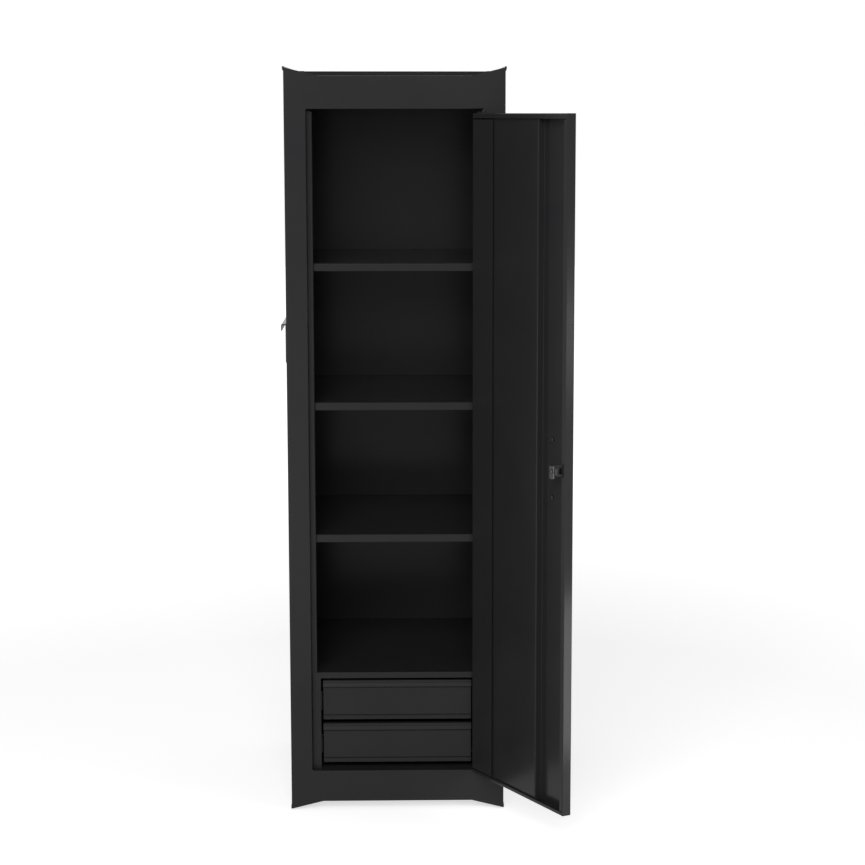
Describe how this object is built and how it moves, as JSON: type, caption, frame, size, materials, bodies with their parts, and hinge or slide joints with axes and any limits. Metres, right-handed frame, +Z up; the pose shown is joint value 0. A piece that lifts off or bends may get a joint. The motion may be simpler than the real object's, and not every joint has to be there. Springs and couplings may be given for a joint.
{
  "type": "tool locker",
  "caption": "Tall narrow sheet-steel locker with an inset lockable door, shelves and a bank of drawers, made to hang beside a roll cabinet.",
  "frame": {"origin": "centre of the base on the floor, midway between the four floor anchor holes, under the cabinet and not counting the open door", "axes": "+Z up, +X to the locker's right as one faces its front, and the front with its door faces -Y"},
  "size_m": [0.515, 0.7748, 1.383],
  "materials": {
    "painted_steel": "semi-gloss black powder coat",
    "zinc_steel": "zinc plated, dull",
    "black_fittings": "black, satin",
    "lever_plastic": "black moulded plastic"
  },
  "bodies": {
    "cabinet": {"left_side_panel": "painted_steel", "right_side_panel": "painted_steel", "back_panel": "painted_steel", "roof_panel": "painted_steel", "floor_panel": "painted_steel", "frame_top_rail": "painted_steel", "frame_bottom_rail": "painted_steel", "frame_left_stile": "painted_steel", "frame_right_stile": "painted_steel", "upper_shelf": "painted_steel", "middle_shelf": "painted_steel", "lower_shelf": "painted_steel", "shelf_standard_front_left": "painted_steel", "shelf_standard_front_right": "painted_steel", "shelf_standard_rear_left": "painted_steel", "shelf_standard_rear_right": "painted_steel", "shelf_clips": "zinc_steel", "housing_top": "painted_steel", "housing_left_wall": "painted_steel", "housing_right_wall": "painted_steel", "upper_slide_outer": "black_fittings", "lower_slide_outer": "black_fittings", "hanging_rail": "painted_steel", "hanging_rail_bolts": "zinc_steel", "hanging_rail_nuts": "zinc_steel", "hinge_frame_leaf": "painted_steel", "hinge_pin": "zinc_steel"},
    "door": {"door_tray": "painted_steel", "door_stiffener": "painted_steel", "hinge_door_leaf": "painted_steel", "door_handle": "painted_steel", "door_handle_screws": "black_fittings", "lock_barrel": "black_fittings", "lock_nut": "zinc_steel"},
    "lock_core": {"lock_plug": "zinc_steel", "lock_cam": "zinc_steel", "lock_cam_screw": "zinc_steel"},
    "upper_drawer": {"upper_drawer_front": "painted_steel", "upper_drawer_pull": "painted_steel", "upper_drawer_box": "painted_steel", "upper_drawer_rivets": "zinc_steel", "upper_slide_inner": "black_fittings"},
    "upper_runners": {"upper_slide_middle": "black_fittings"},
    "upper_left_lever": {"upper_left_release_lever": "lever_plastic"},
    "upper_right_lever": {"upper_right_release_lever": "lever_plastic"},
    "lower_drawer": {"lower_drawer_front": "painted_steel", "lower_drawer_pull": "painted_steel", "lower_drawer_box": "painted_steel", "lower_drawer_rivets": "zinc_steel", "lower_slide_inner": "black_fittings"},
    "lower_runners": {"lower_slide_middle": "black_fittings"},
    "lower_left_lever": {"lower_left_release_lever": "lever_plastic"},
    "lower_right_lever": {"lower_right_release_lever": "lever_plastic"}
  },
  "joints": [
    {"name": "door_hinge", "type": "hinge", "parent": "cabinet", "child": "door", "pos_m": [0.1596, -0.245, 0.6887], "axis": [0, 0, 1], "range_deg": [-118.4, 61.6]},
    {"name": "lock_turn", "type": "hinge", "parent": "door", "child": "lock_core", "pos_m": [0.29698, -0.5096, 0.691], "axis": [-0.8796, -0.4756, 0], "range_deg": [0, 90]},
    {"name": "upper_drawer_slide", "type": "slide", "parent": "cabinet", "child": "upper_drawer", "axis": [0, -1, 0], "range_m": [0, 0.38]},
    {"name": "upper_runner_slide", "type": "slide", "parent": "cabinet", "child": "upper_runners", "axis": [0, -1, 0], "range_m": [0, 0.19]},
    {"name": "upper_left_lever_press", "type": "hinge", "parent": "upper_drawer", "child": "upper_left_lever", "pos_m": [-0.13285, -0.0636, 0.2038], "axis": [1, 0, 0], "range_deg": [0, 12]},
    {"name": "upper_right_lever_press", "type": "hinge", "parent": "upper_drawer", "child": "upper_right_lever", "pos_m": [0.13285, -0.0636, 0.2038], "axis": [1, 0, 0], "range_deg": [0, 12]},
    {"name": "lower_drawer_slide", "type": "slide", "parent": "cabinet", "child": "lower_drawer", "axis": [0, -1, 0], "range_m": [0, 0.38]},
    {"name": "lower_runner_slide", "type": "slide", "parent": "cabinet", "child": "lower_runners", "axis": [0, -1, 0], "range_m": [0, 0.19]},
    {"name": "lower_left_lever_press", "type": "hinge", "parent": "lower_drawer", "child": "lower_left_lever", "pos_m": [-0.13285, -0.0636, 0.1203], "axis": [1, 0, 0], "range_deg": [0, 12]},
    {"name": "lower_right_lever_press", "type": "hinge", "parent": "lower_drawer", "child": "lower_right_lever", "pos_m": [0.13285, -0.0636, 0.1203], "axis": [1, 0, 0], "range_deg": [0, 12]}
  ],
  "couplings": [
    {"joint": "upper_runner_slide", "follows": "upper_drawer_slide", "ratio": 0.5},
    {"joint": "lower_runner_slide", "follows": "lower_drawer_slide", "ratio": 0.5}
  ]
}
